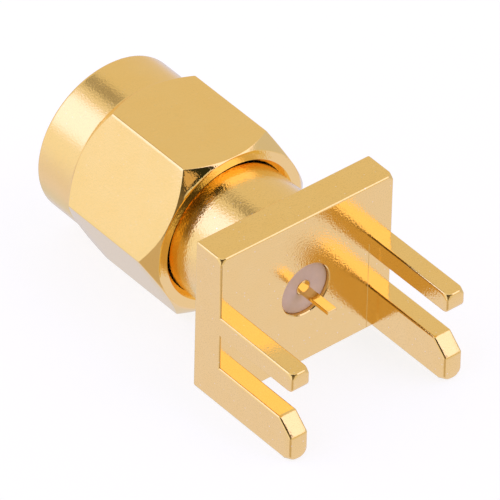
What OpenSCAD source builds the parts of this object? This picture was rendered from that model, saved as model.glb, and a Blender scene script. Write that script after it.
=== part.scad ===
// Threaded coaxial plug with a pin contact, for the edge of a printed board.
// The coupling nut spins on the body, held by a split ring in two facing grooves.
// Frame: the connector's axis lies along +Y, towards the mating face, and +Z is up.
// The origin is on that axis, in the flange's rear face, which the board's edge butts against.

/* [Board edge] */
// Thickness of the board that the legs straddle
board_thickness = 1.57; // [0.8:0.01:1.7]
// Spare height in the slot between the upper and lower legs
board_clearance = 0.2; // [0.1:0.01:0.3]
// Depth of the board's top face below the connector's axis
board_drop = 0.18; // [0.12:0.01:0.3]

/* [Flange] */
// Width of the flange, over the outer faces of the legs
flange_width = 9.525; // [8.5:0.005:12.7]
// Height of the flange
flange_height = 7.94; // [7.6:0.01:9.5]
// Thickness of the flange
flange_thickness = 1.7; // [1.2:0.05:2.6]
// Radius of the flange's four corners
flange_corner_r = 0.1; // [0.05:0.01:0.3]

/* [Legs] */
// Length of the legs behind the flange
leg_length = 4.83; // [3:0.01:8]
// Width of each leg
leg_width = 0.96; // [0.7:0.01:1.4]
// Height of each upper leg
upper_leg_height = 1; // [0.7:0.05:1.5]
// Radius under the tip of each leg
leg_tip_r = 0.3; // [0.1:0.05:0.5]
// Radius on the upper edge of an upper leg's tip
leg_edge_r = 0.1; // [0.05:0.01:0.15]
// Length of the lead-in slope on a lower leg
lead_in_run = 0.8; // [0.4:0.05:1.2]
// Height of the lead-in slope on a lower leg
lead_in_drop = 0.73; // [0.3:0.01:1]

/* [Barrel and ferrule] */
// Diameter of the barrel between the flange and the nut
barrel_d = 6.5; // [6:0.05:6.7]
// Length of barrel in view between the flange and the nut
barrel_length = 3.4; // [1.5:0.1:8]
// Length of barrel inside the nut's rear counterbore
barrel_overlap = 1.05; // [0.6:0.05:1.2]
// Diameter of the neck that the nut turns on
neck_d = 5.24; // [5.1:0.02:5.4]
// Outside diameter of the mating ferrule
ferrule_d = 4.59; // [4.5:0.01:4.6]
// Length of the ferrule in front of the gasket seat
ferrule_length = 2.3; // [2.1:0.05:2.5]
// Length from the barrel's front face to the gasket seat
neck_length = 1.7; // [1.5:0.05:2.2]
// Chamfer on the ferrule's front edge
ferrule_chamfer = 0.12; // [0.05:0.01:0.2]

/* [Insulated line] */
// Diameter of the insulator inside the ferrule
front_line_d = 4.13; // [4:0.01:4.16]
// Diameter of the insulator behind the step
rear_line_d = 2.6; // [2.2:0.01:3]
// Length of the front line, from the mating face to the step
front_line_length = 4.15; // [3:0.05:5]
// Depth of the insulator's rear face inside the flange
insulator_recess = 0.16; // [0.05:0.01:0.4]
// Chamfer round the insulator's hole in the flange
hole_chamfer = 0.08; // [0.04:0.01:0.15]

/* [Centre contact] */
// Diameter of the mating pin
pin_d = 0.914; // [0.9:0.002:0.94]
// Length of the mating pin in front of the mating face
pin_length = 2.3; // [2:0.05:2.5]
// Length of the taper at the pin's tip
pin_taper = 0.45; // [0.2:0.05:0.8]
// Diameter of the pin's flat end
pin_end_d = 0.36; // [0.2:0.02:0.6]
// Diameter of the contact's captured shoulder
contact_shoulder_d = 1.27; // [1.2:0.01:1.4]
// Length of the contact's captured shoulder
contact_shoulder_length = 3.4; // [2:0.1:3.8]
// Diameter of the contact behind the shoulder
contact_rod_d = 0.76; // [0.6:0.01:0.9]
// Length of the solder blade behind the flange
blade_length = 1.75; // [1:0.05:3]
// Width of the solder blade
blade_width = 0.5; // [0.4:0.01:0.56]
// Thickness of the solder blade
blade_thickness = 0.2; // [0.1:0.01:0.28]

/* [Coupling nut] */
// Width of the hexagon across its flats
nut_across_flats = 7.94; // [7.92:0.01:9]
// Whole length of the nut
nut_length = 8.5; // [8:0.05:9.5]
// Length of the hexagon, with its chamfers
hex_length = 6.14; // [3:0.02:7]
// Diameter of the round collar in front of the hexagon
collar_d = 7.8; // [7.4:0.02:7.9]
// Diameter of the nut's rear face
nut_face_d = 7.9; // [7.6:0.02:7.92]
// Chamfer on the collar's front edge
collar_chamfer = 0.1; // [0.05:0.05:0.4]
// Chamfer inside the nut's rear rim
rim_chamfer = 0.18; // [0.1:0.01:0.25]
// Turn of the nut about its axis as it rests
nut_turn = 1.5; // [-30:0.5:30]
// Major diameter of the nut's thread
thread_major_d = 6.35; // [6.3:0.01:6.4]
// Minor diameter of the nut's thread
thread_minor_d = 5.7; // [5.59:0.01:5.74]
// Length of the relief behind the thread
thread_relief = 1.1; // [0.8:0.05:1.5]

/* [Retaining ring] */
// Thickness of the ring along the axis
ring_thickness = 0.45; // [0.3:0.01:0.5]
// Width of the ring from its inner to its outer edge
ring_width = 0.54; // [0.4:0.01:0.6]
// Depth of the ring in the neck's groove
ring_seat = 0.22; // [0.15:0.01:0.24]
// Gap where the ring is split
ring_split = 0.7; // [0.3:0.05:1.5]

/* [Gasket] */
// Thickness of the gasket
gasket_thickness = 0.6; // [0.4:0.05:0.8]
// Outside diameter of the gasket
gasket_d = 5.6; // [5.3:0.05:5.8]

/* [Clearances] */
// Radial running clearance of the nut on the neck
running_clearance = 0.06; // [0.02:0.01:0.1]
// Radial gap between the barrel and the nut's rear rim
rim_gap = 0.08; // [0.05:0.01:0.15]
// End float of the nut between the barrel and the gasket
nut_float = 0.12; // [0.05:0.01:0.15]
// Gap on each face and rim of the ring in its grooves
ring_clearance = 0.06; // [0.03:0.01:0.08]
// Gap round pieces that are pressed together
press_gap = 0.01; // [0.005:0.001:0.02]

/* [Hidden] */

$fn = 96;
corner_fn = 32;
cut = 1;

// Stations along the axis
nut_rear_y = flange_thickness + barrel_length;
nut_front_y = nut_rear_y + nut_length;
hex_front_y = nut_rear_y + hex_length;
barrel_front_y = nut_rear_y + barrel_overlap;
gasket_seat_y = barrel_front_y + neck_length;
mating_y = gasket_seat_y + ferrule_length;
line_step_y = mating_y - front_line_length;
contact_step_y = mating_y - contact_shoulder_length;
pin_tip_y = mating_y + pin_length;
web_rear_y = barrel_front_y + nut_float;
web_front_y = gasket_seat_y - nut_float;
thread_rear_y = web_front_y + thread_relief;
ring_y = (web_rear_y + web_front_y) / 2;
ring_groove_half = ring_thickness / 2 + ring_clearance;

// Heights of the slot for the board
board_top_z = -board_drop;
board_bottom_z = board_top_z - board_thickness - board_clearance;
flange_bottom_z = -flange_height / 2;

// Radii
barrel_r = barrel_d / 2;
neck_r = neck_d / 2;
ferrule_r = ferrule_d / 2;
front_line_r = front_line_d / 2;
rear_line_r = rear_line_d / 2;
ring_inner_r = neck_r - ring_seat;
ring_outer_r = ring_inner_r + ring_width;
web_bore_r = neck_r + running_clearance;
thread_minor_r = thread_minor_d / 2;
thread_relief_r = thread_major_d / 2 + ring_clearance;
nut_corner_r = nut_across_flats / 2 / cos(30);

// Turns a profile of [radius, station] points about the connector's axis.
module turned(profile) {
    rotate([-90, 0, 0])
        rotate_extrude()
            polygon(profile);
}

// Stretches an outline in the XZ plane from one station to another.
module along_axis(from_y, to_y) {
    translate([0, to_y, 0])
        rotate([90, 0, 0])
            linear_extrude(to_y - from_y)
                children();
}

// Stretches an outline in the YZ plane to a leg's width, inwards from the flange's left side.
module across_leg() {
    translate([-flange_width / 2, 0, 0])
        rotate([90, 0, 90])
            linear_extrude(leg_width)
                children();
}

// What a corner loses when it is rounded: at [0, 0], it opens towards +X and +Y.
module corner_waste(r) {
    difference() {
        translate([-cut, -cut])
            square(r + cut);
        translate([r, r])
            circle(r, $fn = corner_fn);
    }
}

module flange_outline() {
    difference() {
        square([flange_width, flange_height], center = true);
        for (x = [-1, 1], z = [-1, 1])
            scale([x, z])
                translate([-flange_width / 2, -flange_height / 2])
                    corner_waste(flange_corner_r);
    }
}

module upper_leg_side() {
    difference() {
        translate([-leg_length, board_top_z])
            square([leg_length + flange_thickness / 2, upper_leg_height]);
        translate([-leg_length, board_top_z])
            corner_waste(leg_tip_r);
        translate([-leg_length, board_top_z + upper_leg_height])
            mirror([0, 1])
                corner_waste(leg_edge_r);
    }
}

module lower_leg_side() {
    difference() {
        polygon([
            [flange_thickness / 2, flange_bottom_z],
            [flange_thickness / 2, board_bottom_z],
            [lead_in_run - leg_length, board_bottom_z],
            [-leg_length, board_bottom_z - lead_in_drop],
            [-leg_length, flange_bottom_z]
        ]);
        translate([-leg_length, flange_bottom_z])
            corner_waste(leg_tip_r);
    }
}

// The upper and lower leg on one side, with the lower leg's inner edge rounded like the flange's corner.
module leg_pair() {
    intersection() {
        along_axis(-leg_length, flange_thickness / 2)
            difference() {
                flange_outline();
                translate([leg_width - flange_width / 2, flange_bottom_z])
                    mirror([1, 0])
                        corner_waste(flange_corner_r);
            }
        across_leg() {
            upper_leg_side();
            lower_leg_side();
        }
    }
}

// The barrel, the neck with the ring's groove, the gasket seat and the mating ferrule.
module body_turning() {
    groove_r = ring_inner_r - ring_clearance;
    turned([
        [0, flange_thickness / 2],
        [barrel_r, flange_thickness / 2],
        [barrel_r, barrel_front_y - ferrule_chamfer],
        [barrel_r - ferrule_chamfer, barrel_front_y],
        [neck_r, barrel_front_y],
        [neck_r, ring_y - ring_groove_half],
        [groove_r, ring_y - ring_groove_half],
        [groove_r, ring_y + ring_groove_half],
        [neck_r, ring_y + ring_groove_half],
        [neck_r, gasket_seat_y],
        [ferrule_r, gasket_seat_y],
        [ferrule_r, mating_y - ferrule_chamfer],
        [ferrule_r - ferrule_chamfer, mating_y],
        [0, mating_y]
    ]);
}

// The stepped bore for the insulator, open at both ends.
module line_bore() {
    turned([
        [0, -cut],
        [rear_line_r + hole_chamfer + cut, -cut],
        [rear_line_r, hole_chamfer],
        [rear_line_r, line_step_y],
        [front_line_r, line_step_y],
        [front_line_r, mating_y + cut],
        [0, mating_y + cut]
    ]);
}

module connector_body() {
    color("goldenrod")
        difference() {
            union() {
                along_axis(0, flange_thickness)
                    flange_outline();
                leg_pair();
                mirror([1, 0, 0])
                    leg_pair();
                body_turning();
            }
            line_bore();
        }
}

// The envelope that the hexagon bar is turned to: a 45 degree chamfer at each end of the
// hexagon, and the round collar.
module nut_envelope() {
    face_r = nut_face_d / 2;
    collar_r = collar_d / 2;
    turned([
        [0, nut_rear_y],
        [face_r, nut_rear_y],
        [nut_corner_r, nut_rear_y + nut_corner_r - face_r],
        [nut_corner_r, hex_front_y - nut_corner_r + collar_r],
        [collar_r, hex_front_y],
        [collar_r, nut_front_y - collar_chamfer],
        [collar_r - collar_chamfer, nut_front_y],
        [0, nut_front_y]
    ]);
}

// The counterbore over the barrel, the web that turns on the neck, the ring's groove,
// the thread relief and the thread at its minor diameter.
module nut_bore() {
    rim_r = barrel_r + rim_gap;
    groove_r = ring_outer_r + ring_clearance;
    mouth_r = thread_major_d / 2;
    turned([
        [0, nut_rear_y - cut],
        [rim_r + rim_chamfer + cut, nut_rear_y - cut],
        [rim_r, nut_rear_y + rim_chamfer],
        [rim_r, web_rear_y],
        [web_bore_r, web_rear_y],
        [web_bore_r, ring_y - ring_groove_half],
        [groove_r, ring_y - ring_groove_half],
        [groove_r, ring_y + ring_groove_half],
        [web_bore_r, ring_y + ring_groove_half],
        [web_bore_r, web_front_y],
        [thread_relief_r, web_front_y],
        [thread_relief_r, thread_rear_y],
        [thread_minor_r, thread_rear_y],
        [thread_minor_r, nut_front_y - mouth_r + thread_minor_r],
        [mouth_r + cut, nut_front_y + cut],
        [0, nut_front_y + cut]
    ]);
}

module coupling_nut() {
    color("gold")
        difference() {
            intersection() {
                rotate([0, nut_turn, 0])
                    along_axis(nut_rear_y, nut_front_y)
                        circle(nut_corner_r, $fn = 6);
                nut_envelope();
            }
            nut_bore();
        }
}

// One stepped sleeve, with a stepped hole that captures the contact's shoulder.
module insulator() {
    rod_hole_r = contact_rod_d / 2 + press_gap;
    shoulder_hole_r = contact_shoulder_d / 2 + press_gap;
    color("whitesmoke")
        turned([
            [rod_hole_r, insulator_recess],
            [rear_line_r - press_gap, insulator_recess],
            [rear_line_r - press_gap, line_step_y + press_gap],
            [front_line_r - press_gap, line_step_y + press_gap],
            [front_line_r - press_gap, mating_y],
            [shoulder_hole_r, mating_y],
            [shoulder_hole_r, contact_step_y - press_gap],
            [rod_hole_r, contact_step_y - press_gap]
        ]);
}

module centre_contact() {
    color("khaki") {
        turned([
            [0, 0],
            [contact_rod_d / 2, 0],
            [contact_rod_d / 2, contact_step_y],
            [contact_shoulder_d / 2, contact_step_y],
            [contact_shoulder_d / 2, mating_y],
            [pin_d / 2, mating_y],
            [pin_d / 2, pin_tip_y - pin_taper],
            [pin_end_d / 2, pin_tip_y],
            [0, pin_tip_y]
        ]);
        translate([-blade_width / 2, -blade_length, board_top_z])
            cube([blade_width, blade_length + insulator_recess, blade_thickness]);
    }
}

// A flat ring with square edges, split at the top.
module retaining_ring() {
    color("peru")
        difference() {
            turned([
                [ring_inner_r, ring_y - ring_thickness / 2],
                [ring_outer_r, ring_y - ring_thickness / 2],
                [ring_outer_r, ring_y + ring_thickness / 2],
                [ring_inner_r, ring_y + ring_thickness / 2]
            ]);
            translate([-ring_split / 2, ring_y - ring_thickness, 0])
                cube([ring_split, 2 * ring_thickness, ring_outer_r + cut]);
        }
}

module gasket() {
    color("indianred")
        turned([
            [ferrule_r + press_gap, gasket_seat_y],
            [gasket_d / 2, gasket_seat_y],
            [gasket_d / 2, gasket_seat_y + gasket_thickness],
            [ferrule_r + press_gap, gasket_seat_y + gasket_thickness]
        ]);
}

connector_body();
coupling_nut();
insulator();
centre_contact();
retaining_ring();
gasket();
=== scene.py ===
import math

import bmesh
import bpy
from mathutils import Matrix, Vector


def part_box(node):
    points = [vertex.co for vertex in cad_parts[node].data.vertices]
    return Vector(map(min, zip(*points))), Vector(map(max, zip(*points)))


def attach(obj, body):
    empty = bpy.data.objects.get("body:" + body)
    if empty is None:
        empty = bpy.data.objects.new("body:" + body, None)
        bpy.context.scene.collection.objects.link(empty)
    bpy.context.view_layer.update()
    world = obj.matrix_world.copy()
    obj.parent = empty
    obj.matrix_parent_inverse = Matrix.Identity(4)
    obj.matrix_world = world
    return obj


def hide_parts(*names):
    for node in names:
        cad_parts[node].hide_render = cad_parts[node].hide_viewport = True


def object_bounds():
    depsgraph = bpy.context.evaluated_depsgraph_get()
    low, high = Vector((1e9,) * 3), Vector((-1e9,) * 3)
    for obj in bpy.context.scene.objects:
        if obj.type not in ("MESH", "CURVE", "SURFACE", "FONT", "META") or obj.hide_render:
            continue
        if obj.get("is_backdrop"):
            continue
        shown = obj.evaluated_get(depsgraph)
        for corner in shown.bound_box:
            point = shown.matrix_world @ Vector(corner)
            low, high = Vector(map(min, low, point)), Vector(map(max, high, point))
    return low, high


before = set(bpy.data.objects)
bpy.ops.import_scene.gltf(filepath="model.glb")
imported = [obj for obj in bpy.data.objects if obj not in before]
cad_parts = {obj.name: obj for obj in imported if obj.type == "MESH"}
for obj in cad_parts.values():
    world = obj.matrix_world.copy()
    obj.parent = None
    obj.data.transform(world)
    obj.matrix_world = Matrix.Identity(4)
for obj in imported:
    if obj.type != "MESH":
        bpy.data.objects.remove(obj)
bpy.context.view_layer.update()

millimetre = 0.001  # pieces are made in millimetres and brought to metres when they are finished
nearly = 0.0001  # two places closer than this are one
print("stage 1: the frame is loaded, with", len(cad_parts), "nodes")


def boxInMm(node):
    low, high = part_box(node)
    return low / millimetre, high / millimetre


bodyLow, bodyHigh = boxInMm("connector_body")
nutLow, nutHigh = boxInMm("coupling_nut")
contactLow, contactHigh = boxInMm("centre_contact")


def near(a, b):
    return abs(a - b) < nearly


def makeObject(bm, name):
    mesh = bpy.data.meshes.new(name)
    bm.to_mesh(mesh)
    bm.free()
    piece = bpy.data.objects.new(name, mesh)
    bpy.context.scene.collection.objects.link(piece)
    return piece


def applyModifiers(piece):
    depsgraph = bpy.context.evaluated_depsgraph_get()
    finished = bpy.data.meshes.new_from_object(piece.evaluated_get(depsgraph))
    piece.modifiers.clear()
    piece.data = finished


def combine(piece, toolShape, operation):
    tool = makeObject(toolShape, "tool")
    step = piece.modifiers.new("combine", "BOOLEAN")
    step.operation = operation
    step.solver = "EXACT"
    step.object = tool
    applyModifiers(piece)
    bpy.data.objects.remove(tool)


def turnProfile(profile, rounding=0.0, steps=192):
    # each corner is (radius, station), and a profile that starts on the axis ends on it too
    bm = bmesh.new()
    corners = [bm.verts.new((radius, station, 0.0)) for radius, station in profile]
    for first, second in zip(corners, corners[1:]):
        bm.edges.new((first, second))
    if profile[0][0] > 0:
        bm.edges.new((corners[-1], corners[0]))
    if rounding:
        bmesh.ops.bevel(bm, geom=[v for v in corners if v.co.x > 0], offset=rounding, offset_type="OFFSET",
                        segments=3, profile=0.5, affect="VERTICES", material=-1, clamp_overlap=True)
    bmesh.ops.spin(bm, geom=bm.verts[:] + bm.edges[:], cent=(0, 0, 0), axis=(0, 1, 0), dvec=(0, 0, 0),
                   angle=math.tau, steps=steps, use_merge=True)
    bmesh.ops.remove_doubles(bm, verts=bm.verts, dist=1e-5)
    bmesh.ops.recalc_face_normals(bm, faces=bm.faces)
    return bm


def cutAt(bm, point, direction):
    everything = bm.verts[:] + bm.edges[:] + bm.faces[:]
    bmesh.ops.bisect_plane(bm, geom=everything, plane_co=point, plane_no=direction)


def roundOff(bm, isChosen, offset, segments, sharpFrom=30):
    # of the edges that turn outward, rounds those that isChosen takes by their two ends
    bmesh.ops.recalc_face_normals(bm, faces=bm.faces)
    limit = math.radians(sharpFrom)
    sharp = [e for e in bm.edges if e.is_convex and e.calc_face_angle(0.0) > limit]
    chosen = [e for e in sharp if isChosen(*[v.co for v in e.verts])]
    bmesh.ops.bevel(bm, geom=chosen, offset=offset, offset_type="OFFSET", segments=segments, profile=0.5,
                    affect="EDGES", material=-1, clamp_overlap=False)


def finishPiece(piece, body, replaced, sharpFrom=32):
    # to metres, smooth apart from its sharp edges, with the large faces kept flat
    piece.data.transform(Matrix.Scale(millimetre, 4))
    bm = bmesh.new()
    bm.from_mesh(piece.data)
    bmesh.ops.remove_doubles(bm, verts=bm.verts, dist=1e-8)
    for face in bm.faces:
        face.smooth = True
    for edge in bm.edges:
        edge.smooth = len(edge.link_faces) == 2 and edge.calc_face_angle(0.0) < math.radians(sharpFrom)
    bm.to_mesh(piece.data)
    bm.free()
    weights = piece.modifiers.new("flat faces", "WEIGHTED_NORMAL")
    weights.keep_sharp = True
    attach(piece, body)
    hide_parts(*replaced)
    return piece


# The body: a milled flange with four legs, joined to a turned barrel, then bored.

bodySettings = {
    "flangeThickness": 1.70,
    "legWidth": 0.96,
    "upperLeg": (-0.18, 0.82),  # the heights of its underside and its top
    "lowerLegTop": -1.95,
    "leadInRun": 0.80,  # the slope on a lower leg's tip, which leads the board in
    "leadInDrop": 0.73,
    "edgeRounding": 0.10,
    "tipRounding": 0.30,  # under an upper leg's tip
    "wornCorner": 0.28,
    "footRadius": 0.44,  # a lower leg's tip is rounded like a U, and this fades out along the leg
    "footFade": 0.50,
    "toolMark": {"across": 3.49, "low": -3.90, "high": 0.75, "depth": 0.014, "size": (0.12, 0.10)},
    "barrelRadius": 3.25,
    "barrelFront": 6.15,
    "neckRadius": 2.62,
    "grooveRadius": 2.34,
    "groove": (6.715, 7.285),  # it faces the nut's groove, and the retaining ring lies in both
    "gasketSeat": 7.85,
    "ferruleRadius": 2.295,
    "turnedRounding": 0.06,
    "rearBore": 1.30,
    "frontBore": 2.065,
    "boreStep": 6.00,
    "boreChamfer": 0.04,
    "mouthChamfer": 0.10,
}


def makeMilledBlock(s):
    halfWidth, halfHeight = bodyHigh.x, -bodyLow.z
    inner = halfWidth - s["legWidth"]
    low, high = s["upperLeg"]
    bm = bmesh.new()
    bmesh.ops.create_cube(bm, size=1.0)
    bmesh.ops.scale(bm, vec=(2 * halfWidth, s["flangeThickness"], 2 * halfHeight), verts=bm.verts)
    bmesh.ops.translate(bm, vec=(0, s["flangeThickness"] / 2, 0), verts=bm.verts)

    # lines across the block mark out where the legs start
    for side in (-inner, inner):
        cutAt(bm, (side, 0, 0), (1, 0, 0))
    for level in (s["lowerLegTop"], low, high):
        cutAt(bm, (0, 0, level), (0, 0, 1))

    def isRoot(face):
        # whether a leg is drawn out from this face
        middle = face.calc_center_median()
        atLeg = low < middle.z < high or middle.z < s["lowerLegTop"]
        return near(middle.y, 0) and face.normal.y < -0.9 and abs(middle.x) > inner and atLeg

    roots = [f for f in bm.faces if isRoot(f)]
    drawn = bmesh.ops.extrude_discrete_faces(bm, faces=roots)["faces"]
    tips = {v for f in drawn for v in f.verts}
    bmesh.ops.translate(bm, vec=(0, bodyLow.y, 0), verts=list(tips))
    cutAt(bm, (0, bodyLow.y + s["leadInRun"], 0), (0, 1, 0))
    leadIn = [v for v in bm.verts if near(v.co.y, bodyLow.y) and near(v.co.z, s["lowerLegTop"])]
    bmesh.ops.translate(bm, vec=(0, 0, -s["leadInDrop"]), verts=leadIn)
    bmesh.ops.remove_doubles(bm, verts=bm.verts, dist=1e-5)
    bmesh.ops.dissolve_limit(bm, angle_limit=math.radians(0.5), use_dissolve_boundaries=False,
                             verts=bm.verts, edges=bm.edges)
    return bm


def softenMilledBlock(bm, s):
    bottom, top = bodyLow.z, -bodyLow.z
    low, high = s["upperLeg"]
    radius, fade = s["footRadius"], s["footFade"]

    # the corners that wear takes first: the flange's upper ones and those on the upper legs' tips
    worn = [v for v in bm.verts if near(v.co.y, 0) and near(v.co.z, top)]
    worn += [v for v in bm.verts if near(v.co.y, bodyLow.y) and near(v.co.z, high)]
    bmesh.ops.bevel(bm, geom=worn, offset=s["wornCorner"], offset_type="OFFSET", segments=1, profile=0.5,
                    affect="VERTICES", material=-1, clamp_overlap=False)

    def underFoot(a, b):
        alongLeg = near(a.x, b.x) and near(a.z, b.z)
        return alongLeg and near(a.z, bottom) and max(a.y, b.y) < bodyLow.y + 1.1 * fade

    def underTip(a, b):
        atEnd = near(a.y, bodyLow.y) and near(b.y, bodyLow.y)
        return atEnd and near(a.z, b.z) and near(a.z, low)

    # the U under a lower leg's tip narrows along the leg, and its arcs end in one point each
    cutAt(bm, (0, bodyLow.y + fade, 0), (0, 1, 0))
    corners = [v.co.copy() for v in bm.verts if near(v.co.y, bodyLow.y + fade) and near(v.co.z, bottom)]
    roundOff(bm, underFoot, radius, 8)
    for corner in corners:
        arc = [v for v in bm.verts if near(v.co.y, corner.y) and (v.co - corner).length < 1.05 * radius]
        bmesh.ops.pointmerge(bm, verts=arc, merge_co=corner)

    roundOff(bm, underTip, s["tipRounding"], 8)
    roundOff(bm, lambda a, b: True, s["edgeRounding"], 3)  # whatever is still sharp
    bmesh.ops.dissolve_degenerate(bm, dist=nearly, edges=bm.edges)
    bmesh.ops.recalc_face_normals(bm, faces=bm.faces)


def makeToolMark(s):
    # a shallow groove on the flange's rear, where two milling passes meet
    mark = s["toolMark"]
    width, height = mark["size"]
    bm = bmesh.new()
    bmesh.ops.create_cube(bm, size=1.0)
    bmesh.ops.rotate(bm, cent=(0, 0, 0), matrix=Matrix.Rotation(math.radians(45), 3, "Z"), verts=bm.verts)
    bmesh.ops.scale(bm, vec=(width, height, mark["high"] - mark["low"]), verts=bm.verts)
    bmesh.ops.translate(bm, vec=(mark["across"], mark["depth"] - height * math.sqrt(0.5),
                                 (mark["high"] + mark["low"]) / 2), verts=bm.verts)
    return bm


def makeBody(s):
    block = makeMilledBlock(s)
    softenMilledBlock(block, s)
    piece = makeObject(block, "connectorBody")
    inside = s["flangeThickness"] / 2
    turning = turnProfile([
        (0, inside),
        (s["barrelRadius"], inside),
        (s["barrelRadius"], s["barrelFront"]),
        (s["neckRadius"], s["barrelFront"]),
        (s["neckRadius"], s["groove"][0]),
        (s["grooveRadius"], s["groove"][0]),
        (s["grooveRadius"], s["groove"][1]),
        (s["neckRadius"], s["groove"][1]),
        (s["neckRadius"], s["gasketSeat"]),
        (s["ferruleRadius"], s["gasketSeat"]),
        (s["ferruleRadius"], bodyHigh.y),
        (0, bodyHigh.y),
    ], rounding=s["turnedRounding"])
    combine(piece, turning, "UNION")
    mouth, beyond = s["mouthChamfer"], 1.0
    bore = turnProfile([
        (0, -beyond),
        (s["rearBore"] + s["boreChamfer"] + beyond, -beyond),
        (s["rearBore"], s["boreChamfer"]),
        (s["rearBore"], s["boreStep"]),
        (s["frontBore"], s["boreStep"]),
        (s["frontBore"], bodyHigh.y - mouth / 2),
        (s["frontBore"] + mouth, bodyHigh.y + mouth / 2),
        (s["frontBore"] + mouth, bodyHigh.y + beyond),
        (0, bodyHigh.y + beyond),
    ])
    combine(piece, bore, "DIFFERENCE")
    combine(piece, makeToolMark(s), "DIFFERENCE")
    for face in piece.data.polygons:
        middle = face.center
        fromAxis = math.hypot(middle.x, middle.z)
        if middle.y > s["flangeThickness"] + 0.001 and fromAxis < s["barrelRadius"] + 0.01:
            face.material_index = 1  # the barrel
    return finishPiece(piece, "body", ["connector_body"])


connectorBody = makeBody(bodySettings)
print("stage 2: the body has", len(connectorBody.data.polygons), "faces")


# The coupling nut: a hexagon bar turned to its envelope, with a threaded mouth.

nutSettings = {
    "acrossFlats": 7.94,
    "turn": 1.5,  # degrees from a level flat
    "hexLength": 6.14,
    "flatStations": (1.2, 2.2, 3.2, 4.2, 5.0),  # rows along the flats, from the rear
    "cornerRounding": 0.10,
    "softening": 0.045,  # of the line where a chamfer meets a flat
    "faceRadius": 3.95,
    "collarRadius": 3.90,
    "collarChamfer": 0.10,
    "rimRadius": 3.285,
    "rimChamfer": 0.215,
    "rimRounding": 0.06,
    "webRadius": 2.68,
    "web": (6.27, 7.73),  # the inner wall that holds the retaining ring
    "groove": (6.715, 7.285),
    "grooveRadius": 3.00,
    "reliefRadius": 3.235,
    "threadRear": 8.83,
    "threadMajor": 3.175,
    "threadMinor": 2.85,
    "pitch": 25.4 / 36,
    "ridge": (0.30, 0.09),  # half of the thread's thickness, at its root and at its crest
    "threadLead": 0.45,  # from the relief to the middle of the first turn
    "threadEnd": 0.05,  # how far inside the mouth the thread ends
    "threadSteps": 96,
    "columnsPerFlat": 32,
}


def roundedHexRadius(s, fromFlat):
    # distance from the axis to the hexagon, at an angle of up to 30 degrees from a flat's middle
    apothem, rounding = s["acrossFlats"] / 2, s["cornerRounding"]
    side = abs(fromFlat)
    centre = (apothem - rounding) / math.cos(math.radians(30))
    tangent = math.atan2(centre * math.sin(math.radians(30)), apothem)
    if side < tangent:
        return apothem / math.cos(side)
    toCorner = math.radians(30) - side
    reach = centre * math.cos(toCorner)
    return reach + math.sqrt(rounding ** 2 - (centre * math.sin(toCorner)) ** 2)


def softMinimum(a, b, width):
    # the smaller of the two, rounded off where they cross
    return min(a, b) - max(width - abs(a - b), 0.0) ** 2 / (4 * width)


def nutRows(s):
    # each row takes the hexagon's radius at a column, and gives the radius and the station there
    rear, front, hexFront = nutLow.y, nutHigh.y, nutLow.y + s["hexLength"]
    faceRadius, collarRadius, edge = s["faceRadius"], s["collarRadius"], s["rimRounding"]

    def chamfer(share, foot, station, way):
        def place(flat):
            length = flat - foot
            soft = min(s["softening"], 0.9 * length)
            out = share * (length - soft) if share < 1 else length + (share - 2) * soft
            return softMinimum(foot + out, flat, soft), station + way * out
        return place

    def ring(radius, station):
        return lambda flat: (radius, station)

    def onFlats(station):
        return lambda flat: (flat, station)

    # a chamfer's own length up to 1, and from there to 3 its softened crossing with the flat
    shares = [0.1, 0.4, 0.7, 1.0, 1.5, 2.0, 2.5, 3.0]
    foot, top = front - s["collarChamfer"], collarRadius - s["collarChamfer"]
    rim = [
        (faceRadius - 2.0 * edge, rear),
        (faceRadius - edge, rear),
        (faceRadius - 0.6 * edge, rear + 0.05 * edge),
        (faceRadius - 0.25 * edge, rear + 0.2 * edge),
    ]
    collar = [  # close rows keep both of its ends crisp
        (collarRadius, hexFront + 0.02),
        (collarRadius, hexFront + 0.08),
        (collarRadius, foot - 0.10),
        (collarRadius, foot - 0.03),
        (collarRadius - 0.012, foot + 0.012),
        (top + 0.012, front - 0.012),
        (top - 0.04, front),
    ]
    inside = [  # from the mouth back to the rear rim
        (s["threadMajor"] + 0.02, front),
        (s["threadMajor"], front - 0.02),
        (s["threadMajor"], s["threadRear"]),
        (s["reliefRadius"], s["threadRear"]),
        (s["reliefRadius"], s["web"][1]),
        (s["webRadius"], s["web"][1]),
        (s["webRadius"], s["groove"][1]),
        (s["grooveRadius"], s["groove"][1]),
        (s["grooveRadius"], s["groove"][0]),
        (s["webRadius"], s["groove"][0]),
        (s["webRadius"], s["web"][0]),
        (s["rimRadius"], s["web"][0]),
        (s["rimRadius"], rear + s["rimChamfer"]),
        (s["rimRadius"] + s["rimChamfer"], rear),
    ]
    rows = [ring(*corner) for corner in rim]
    rows += [chamfer(share, faceRadius, rear, 1) for share in shares]
    rows += [onFlats(rear + station) for station in s["flatStations"]]
    rows += [chamfer(share, collarRadius, hexFront, -1) for share in reversed(shares)]
    rows += [ring(*corner) for corner in collar + inside]
    return rows


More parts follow.
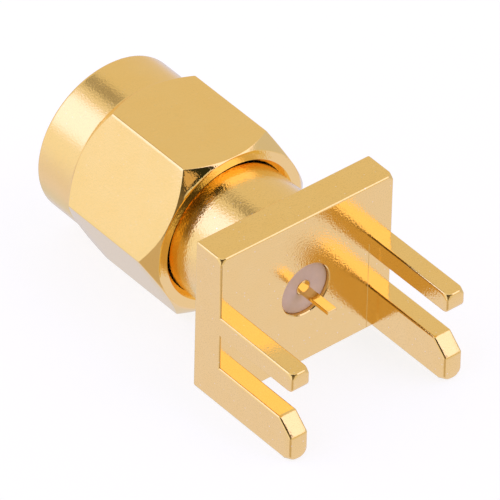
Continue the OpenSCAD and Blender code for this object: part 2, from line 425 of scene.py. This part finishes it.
def makeNutShell(s):
    rows = nutRows(s)
    bm = bmesh.new()
    rowOf = bm.verts.layers.int.new("row")
    corners = []
    for number, place in enumerate(rows):
        radius, station = place(s["acrossFlats"] / 2)
        corner = bm.verts.new((radius, station, 0.0))
        corner[rowOf] = number
        corners.append(corner)
    for first, second in zip(corners, corners[1:] + corners[:1]):
        bm.edges.new((first, second))
    columns = 6 * s["columnsPerFlat"]
    bmesh.ops.spin(bm, geom=bm.verts[:] + bm.edges[:], cent=(0, 0, 0), axis=(0, 1, 0), dvec=(0, 0, 0),
                   angle=math.tau, steps=columns, use_merge=True)
    for vert in bm.verts:
        share = math.atan2(vert.co.z, vert.co.x) / math.tau * columns
        column = round(share) % columns
        flat, place = divmod(column, s["columnsPerFlat"])
        across = 2 * place / s["columnsPerFlat"] - 1
        # columns crowd towards the corners
        fromFlat = math.radians(30) * (1.5 * across - 0.5 * across ** 3)
        radius, station = rows[vert[rowOf]](roundedHexRadius(s, fromFlat))
        angle = math.radians(60 * flat + 30 - s["turn"]) + fromFlat
        vert.co = (radius * math.cos(angle), station, radius * math.sin(angle))
    bmesh.ops.recalc_face_normals(bm, faces=bm.faces)
    return bm


def makeThread(s):
    # one ridge of thread, swept round the axis and cut back to the mouth's chamfer
    steps, start = s["threadSteps"], s["threadRear"] + s["threadLead"]
    turns = (nutHigh.y - s["threadEnd"] - start) / s["pitch"]
    root, crest = s["ridge"]
    buried = s["threadMajor"] + 0.01  # the root sinks a little into the wall
    bm = bmesh.new()
    section = [(buried, -root), (s["threadMinor"], -crest), (s["threadMinor"], crest), (buried, root)]
    ridge = bm.faces.new([bm.verts.new((radius, start + offset, 0.0)) for radius, offset in section])
    bmesh.ops.spin(bm, geom=[ridge], cent=(0, 0, 0), axis=(0, 1, 0), dvec=(0, s["pitch"] / steps, 0),
                   angle=math.tau * turns, steps=int(steps * turns), use_merge=False)
    chamferFoot = nutHigh.y - s["threadMajor"] + s["threadMinor"]
    for vert in bm.verts:
        radius = math.hypot(vert.co.x, vert.co.z)
        least = s["threadMinor"] + vert.co.y - chamferFoot
        wanted = min(max(radius, least), buried)
        vert.co.x *= wanted / radius
        vert.co.z *= wanted / radius
        vert.co.y = min(vert.co.y, nutHigh.y - 0.01)
    bmesh.ops.recalc_face_normals(bm, faces=bm.faces)
    return bm


def makeNut(s):
    shell = makeNutShell(s)
    scratch = bpy.data.meshes.new("scratch")
    thread = makeThread(s)
    thread.to_mesh(scratch)
    thread.free()
    shell.from_mesh(scratch)
    bpy.data.meshes.remove(scratch)
    piece = makeObject(shell, "couplingNut")
    for face in piece.data.polygons:
        middle = face.center
        fromAxis = math.hypot(middle.x, middle.z)
        if middle.y > nutLow.y + s["hexLength"] - 0.01 or fromAxis < s["rimRadius"] + 0.01:
            face.material_index = 2  # the collar and the bore
        elif abs(face.normal.y) > 0.35:
            face.material_index = 1  # the chamfers and the rear rim
    return finishPiece(piece, "nut", ["coupling_nut"])


couplingNut = makeNut(nutSettings)
print("stage 3: the nut has", len(couplingNut.data.polygons), "faces")


# The centre contact: a turned rod with its pin, and a flat solder blade.

contactSettings = {
    "rodRadius": 0.355,
    "rodRear": 0.17,
    "shoulderRadius": 0.635,
    "shoulderRear": 6.75,
    "matingFace": 10.15,
    "pinRadius": 0.457,
    "taper": 0.45,
    "endRadius": 0.18,
    "bladeWidth": 0.50,
    "bladeHeights": (-0.18, 0.02),
    "bladeRoot": 0.40,
    "rounding": 0.03,
}


def makeContact(s):
    low, high = s["bladeHeights"]
    rear, root = contactLow.y, s["bladeRoot"]
    piece = makeObject(turnProfile([
        (0, s["rodRear"]),
        (s["rodRadius"], s["rodRear"]),
        (s["rodRadius"], s["shoulderRear"]),
        (s["shoulderRadius"], s["shoulderRear"]),
        (s["shoulderRadius"], s["matingFace"]),
        (s["pinRadius"], s["matingFace"]),
        (s["pinRadius"], contactHigh.y - s["taper"]),
        (s["endRadius"], contactHigh.y),
        (0, contactHigh.y),
    ], rounding=s["rounding"], steps=96), "centreContact")
    blade = bmesh.new()
    bmesh.ops.create_cube(blade, size=1.0)
    bmesh.ops.scale(blade, vec=(s["bladeWidth"], root - rear, high - low), verts=blade.verts)
    bmesh.ops.translate(blade, vec=(0, (root + rear) / 2, (high + low) / 2), verts=blade.verts)
    bmesh.ops.bevel(blade, geom=blade.edges[:], offset=s["rounding"], offset_type="OFFSET", segments=3,
                    profile=0.5, affect="EDGES", material=-1, clamp_overlap=True)
    combine(piece, blade, "UNION")
    return finishPiece(piece, "body", ["centre_contact"])


centreContact = makeContact(contactSettings)
print("stage 4: the contact has", len(centreContact.data.polygons), "faces")


# The insulator: one stepped sleeve.

insulatorSettings = {
    "rearFace": 0.19,
    "rodHole": 0.365,
    "rearRadius": 1.29,
    "step": 6.01,
    "frontRadius": 2.055,
    "matingFace": 10.15,
    "shoulderHole": 0.645,
    "shoulderRear": 6.74,
    "rounding": 0.02,
}


def makeInsulator(s):
    piece = makeObject(turnProfile([
        (s["rodHole"], s["rearFace"]),
        (s["rearRadius"], s["rearFace"]),
        (s["rearRadius"], s["step"]),
        (s["frontRadius"], s["step"]),
        (s["frontRadius"], s["matingFace"]),
        (s["shoulderHole"], s["matingFace"]),
        (s["shoulderHole"], s["shoulderRear"]),
        (s["rodHole"], s["shoulderRear"]),
    ], rounding=s["rounding"], steps=128), "lineInsulator")
    return finishPiece(piece, "body", ["insulator"])


lineInsulator = makeInsulator(insulatorSettings)
print("stage 5: the insulator has", len(lineInsulator.data.polygons), "faces")


# Materials


class Signal:
    # a node's socket that takes part in sums: an expression adds its own Math nodes
    def __init__(self, shader, socket):
        self.shader = shader
        self.socket = socket

    def beside(self, output):
        # another output of the same node
        return Signal(self.shader, self.socket.node.outputs[output])

    def maths(self, operation, first, second):
        return self.shader.node("Math", {"operation": operation}, {0: first, 1: second})

    def __add__(self, other):
        return self.maths("ADD", self, other)

    def __sub__(self, other):
        return self.maths("SUBTRACT", self, other)

    def __rsub__(self, other):
        return self.maths("SUBTRACT", other, self)

    def __mul__(self, other):
        return self.maths("MULTIPLY", self, other)

    def __pow__(self, other):
        return self.maths("POWER", self, other)

    def __rpow__(self, other):
        return self.maths("POWER", other, self)

    __radd__ = __add__
    __rmul__ = __mul__


class Shader:
    # the node tree of a material or a world, and every node of it is made by the one method
    def __init__(self, owner):
        owner.use_nodes = True
        self.tree = owner.node_tree
        self.tree.nodes.clear()

    def node(self, kind, settings=None, inputs=None, output=0):
        made = self.tree.nodes.new("ShaderNode" + kind)
        for name, value in (settings or {}).items():
            setattr(made, name, value)
        for name, value in (inputs or {}).items():
            if isinstance(value, Signal):
                self.tree.links.new(value.socket, made.inputs[name])
            else:
                made.inputs[name].default_value = value
        return Signal(self, made.outputs[output]) if made.outputs else None


def mixColours(shader, factor, first, second):
    # a Mix node's colour sockets have the same names as its others, so they go by number
    return shader.node("Mix", {"data_type": "RGBA"}, {0: factor, 6: first, 7: second}, output=2)


def placeInMm(shader):
    place = shader.node("TexCoord", output="Object")
    return shader.node("VectorMath", {"operation": "SCALE"}, {0: place, "Scale": 1 / millimetre})


goldSettings = {
    "pale": (1.00, 0.735, 0.25, 1.0),
    "deep": (1.00, 0.705, 0.212, 1.0),
    "dull": (0.62, 0.44, 0.14, 1.0),
    "speck": (1.00, 0.88, 0.60, 1.0),
    "clouds": 1.1,  # these three are how many to the millimetre
    "speckles": 18.0,
    "pits": 3.1,
}
finishes = {  # grain and rings are how many to the millimetre, and depths are in millimetres
    "platedFlange": {"roughness": 0.12, "range": 0.06, "mottle": 0.30, "grain": 10.0, "grainDepth": 0.0065,
                     "pitDepth": 0.002, "specks": 0.9},
    "satinBarrel": {"roughness": 0.16, "range": 0.05, "mottle": 0.30, "grain": 10.0, "grainDepth": 0.0095,
                    "pitDepth": 0.002, "specks": 0.9, "rings": 9.0, "ringDepth": 0.0010},
    "hexFlats": {"roughness": 0.14, "range": 0.05, "mottle": 0.16, "grain": 9.0, "grainDepth": 0.0036,
                 "pitDepth": 0.001, "specks": 0.3},
    "turnedChamfer": {"roughness": 0.04, "range": 0.02, "mottle": 0.12, "grain": 12.0, "grainDepth": 0.0045,
                      "pitDepth": 0.001, "specks": 0.3, "rings": 7.0, "ringDepth": 0.0035},
    "satinCollar": {"roughness": 0.17, "range": 0.05, "mottle": 0.20, "grain": 12.0, "grainDepth": 0.0066,
                    "pitDepth": 0.001, "specks": 0.3, "rings": 12.0, "ringDepth": 0.0010},
    "platedContact": {"roughness": 0.08, "range": 0.04, "mottle": 0.08, "grain": 9.0, "grainDepth": 0.0036},
    "springBronze": {"roughness": 0.30, "range": 0.10, "mottle": 0.20, "grain": 12.0, "grainDepth": 0.0060},
}


def goldFinish(name):
    # gold or bronze: soft grain and dull speckles all over, and where its settings ask for them,
    # pits with pale specks in them and the fine rings that a turning tool leaves
    s = finishes[name]
    material = bpy.data.materials.new(name)
    shader = Shader(material)
    inMm = placeInMm(shader)
    cloud = shader.node("TexNoise", {}, {"Vector": inMm, "Scale": goldSettings["clouds"], "Detail": 3.0})
    grain = shader.node("TexNoise", {}, {"Vector": inMm, "Scale": s["grain"], "Detail": 1.5})
    speckle = shader.node("TexNoise", {}, {
        "Vector": inMm, "Scale": goldSettings["speckles"], "Detail": 2.0})
    colour = mixColours(shader, cloud, goldSettings["deep"], goldSettings["pale"])
    dull = shader.node("MapRange", {}, {
        "Value": speckle, "From Min": 0.5, "From Max": 0.75, "To Max": s["mottle"]})
    colour = mixColours(shader, dull, colour, goldSettings["dull"])
    height = grain * s["grainDepth"] + speckle * (0.15 * s["grainDepth"])
    if "pitDepth" in s:
        spots = shader.node("TexVoronoi", {"feature": "F1"}, {
            "Vector": inMm, "Scale": goldSettings["pits"]})
        pit = shader.node("MapRange", {"interpolation_type": "SMOOTHSTEP"}, {
            "Value": spots, "From Min": 0.03, "From Max": 0.13, "To Min": 1.0, "To Max": 0.0})
        height = height - pit * s["pitDepth"]
        colour = mixColours(shader, pit * s["specks"], colour, goldSettings["speck"])
    if "rings" in s:
        across = shader.node("SeparateXYZ", {}, {0: inMm}, output="X")
        along = across.beside("Y")
        upward = across.beside("Z")
        radius = (across * across + upward * upward) ** 0.5
        rings = shader.node("CombineXYZ", {}, {"X": radius * s["rings"], "Y": along * s["rings"], "Z": 0.0})
        lathe = shader.node("TexNoise", {}, {"Vector": rings, "Scale": 1.0, "Detail": 2.0})
        height = height + lathe * s["ringDepth"]
    bump = shader.node("Bump", {}, {"Strength": 1.0, "Distance": millimetre, "Height": height})
    surface = shader.node("BsdfPrincipled", {}, {
        "Base Color": colour,
        "Metallic": 1.0,
        "Roughness": s["roughness"] + (cloud - 0.5) * s["range"],
        "Normal": bump,
    })
    shader.node("OutputMaterial", {}, {"Surface": surface})
    return material


plastics = {
    # the fluoropolymer itself is white; the warm, dimmer tint of this colour is painted light: a painted
    # reflection of the gold round it and painted shade
    "fluoropolymer": {"colour": (0.92, 0.69, 0.47, 1.0), "roughness": 0.45},
    "siliconeRubber": {"colour": (0.50, 0.13, 0.08, 1.0), "roughness": 0.60},
}


def plasticFinish(name):
    # a smooth moulded or turned plastic, a little clouded
    s = plastics[name]
    material = bpy.data.materials.new(name)
    shader = Shader(material)
    inMm = placeInMm(shader)
    mottle = shader.node("TexNoise", {}, {"Vector": inMm, "Scale": 3.0, "Detail": 4.0})
    darker = tuple(0.86 * channel for channel in s["colour"][:3]) + (1.0,)
    bump = shader.node("Bump", {}, {"Strength": 0.5, "Distance": 0.004 * millimetre, "Height": mottle})
    surface = shader.node("BsdfPrincipled", {}, {
        "Base Color": mixColours(shader, mottle, darker, s["colour"]),
        "Roughness": s["roughness"] + (mottle - 0.5) * 0.1,
        "Normal": bump,
    })
    shader.node("OutputMaterial", {}, {"Surface": surface})
    return material


def dress(piece, *materials):
    while piece.data.materials:
        piece.data.materials.pop()
    for material in materials:
        piece.data.materials.append(material)


dress(connectorBody, goldFinish("platedFlange"), goldFinish("satinBarrel"))
dress(couplingNut, goldFinish("hexFlats"), goldFinish("turnedChamfer"), goldFinish("satinCollar"))
dress(centreContact, goldFinish("platedContact"))
dress(lineInsulator, plasticFinish("fluoropolymer"))
dress(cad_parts["retaining_ring"], goldFinish("springBronze"))
dress(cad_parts["gasket"], plasticFinish("siliconeRubber"))
print("stage 6: the materials are on")


# The floor, the light and the camera

white = (1.0, 1.0, 1.0, 1.0)
floorSettings = {
    "size": 4.0,  # metres
    "colour": (0.25, 0.25, 0.25, 1.0),
    "lift": 0.82,  # how strongly the floor glows for the camera
    "bounce": 0.60,  # and for the light that pieces scatter
}


def makeFloor(s):
    # mirrored rays pass through the floor, so that the metal shows the sky below it
    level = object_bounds()[0].z
    bm = bmesh.new()
    bmesh.ops.create_grid(bm, x_segments=1, y_segments=1, size=s["size"] / 2)
    bmesh.ops.translate(bm, vec=(0, 0, level), verts=bm.verts)
    floor = makeObject(bm, "floor")
    material = bpy.data.materials.new("paleFloor")
    shader = Shader(material)
    cameraRays = shader.node("LightPath", output="Is Camera Ray")
    glossyRays = cameraRays.beside("Is Glossy Ray")
    transmittedRays = cameraRays.beside("Is Transmission Ray")
    diffuseRays = cameraRays.beside("Is Diffuse Ray")
    painted = shader.node("BsdfDiffuse", {}, {"Color": s["colour"]})
    glow = shader.node("Emission", {}, {
        "Color": white, "Strength": cameraRays * s["lift"] + diffuseRays * s["bounce"]})
    lifted = shader.node("AddShader", {}, {0: painted, 1: glow})
    clear = shader.node("BsdfTransparent", {}, {"Color": white})
    surface = shader.node("MixShader", {}, {0: glossyRays + transmittedRays, 1: lifted, 2: clear})
    shader.node("OutputMaterial", {}, {"Surface": surface})
    dress(floor, material)
    floor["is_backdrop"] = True


makeFloor(floorSettings)

skySettings = {
    "left": (0.96, 0.94, 1.27, 1.0),
    "right": (0.75, 0.66, 0.65, 1.0),
    "below": (0.82, 0.78, 1.17, 1.0),
    "areas": {  # where each lies, the angles where it is full and where it has faded out, and its colour
        "leftBox": ((-0.60, 0.59, 0.54), 13, 25, (1.28, 1.31, 2.65, 1.0)),
        "rearStrip": ((0.03, 0.59, 0.81), 3, 11, (0.34, 0.30, 0.31, 1.0)),
        "rightBox": ((0.50, -0.58, 0.645), 18, 34, (1.32, 1.22, 2.11, 1.0)),
        "rightSide": ((0.96, -0.25, 0.05), 14, 34, (0.66, 0.64, 0.86, 1.0)),
        "rimLeft": ((-0.74, -0.57, 0.35), 9, 20, (0.36, 0.32, 0.26, 1.0)),
        "darkFront": ((-0.50, -0.59, 0.63), 21, 28, (0.06, 0.05, 0.04, 1.0)),
        "darkLow": ((-0.62, -0.76, 0.14), 14, 32, (0.20, 0.15, 0.11, 1.0)),
        "frontLeft": ((-0.589, -0.50, -0.634), 20, 44, (0.60, 0.49, 0.49, 1.0)),
        "belowRear": ((0.32, 0.59, -0.74), 18, 40, (0.72, 0.73, 0.91, 1.0)),
        "darkBack": ((-0.08, -0.78, 0.62), 15, 18, (0.03, 0.03, 0.02, 1.0)),
        "brownPatch": ((-0.20, -0.80, 0.57), 6, 8, (0.66, 0.45, 0.28, 1.0)),
    },
}


def makeSky(s):
    # light boxes and dark screens around the piece, and plain white for the camera
    world = bpy.data.worlds.new("studio")
    bpy.context.scene.world = world
    sky = Shader(world)
    direction = sky.node("TexCoord", output="Generated")
    cameraRays = sky.node("LightPath", output="Is Camera Ray")

    def facing(toward, low, high):
        # how far a direction lies along another, from none at the low cosine to all at the high one
        along = sky.node("VectorMath", {"operation": "DOT_PRODUCT"}, {
            0: direction, 1: Vector(toward).normalized()}, output="Value")
        return sky.node("MapRange", {"interpolation_type": "SMOOTHSTEP"}, {
            "Value": along, "From Min": low, "From Max": high})

    colour = mixColours(sky, facing((1, 0, 0), -0.75, 0.20), s["left"], s["right"])
    colour = mixColours(sky, facing((0, 0, -1), 0.05, 0.60), colour, s["below"])
    for toward, full, faded, areaColour in s["areas"].values():
        inArea = facing(toward, math.cos(math.radians(faded)), math.cos(math.radians(full)))
        colour = mixColours(sky, inArea, colour, areaColour)
    background = sky.node("Background", {}, {"Color": mixColours(sky, cameraRays, colour, white)})
    sky.node("OutputWorld", {}, {"Surface": background})


makeSky(skySettings)

cameraSettings = {
    "place": (-193.269, -223.997, 244.87),  # millimetres
    "azimuth": -40.316,  # this and the next two are in degrees
    "elevation": 39.372,
    "roll": 1.522,
    "lens": 648.0,
    "sensor": 36.0,
    "clip": (0.01, 10.0),  # metres
}


def makeCamera(s):
    turn, rise, roll = (math.radians(s[key]) for key in ("azimuth", "elevation", "roll"))
    right = Vector((math.cos(turn), math.sin(turn), 0.0))
    back = Vector((math.sin(turn) * math.cos(rise), -math.cos(turn) * math.cos(rise), math.sin(rise)))
    up = back.cross(right)
    rolledRight = math.cos(roll) * right + math.sin(roll) * up
    rolledUp = -math.sin(roll) * right + math.cos(roll) * up
    lens = bpy.data.cameras.new("camera")
    lens.sensor_width = s["sensor"]
    lens.lens = s["lens"]
    lens.clip_start, lens.clip_end = s["clip"]
    camera = bpy.data.objects.new("camera", lens)
    camera.matrix_world = Matrix.LocRotScale(
        Vector(s["place"]) * millimetre, Matrix((rolledRight, rolledUp, back)).transposed(), None)
    bpy.context.scene.collection.objects.link(camera)
    bpy.context.scene.camera = camera


makeCamera(cameraSettings)
bpy.context.scene.view_settings.view_transform = "Standard"
print("stage 7: the floor, the light and the camera are in place")

bpy.context.view_layer.update()
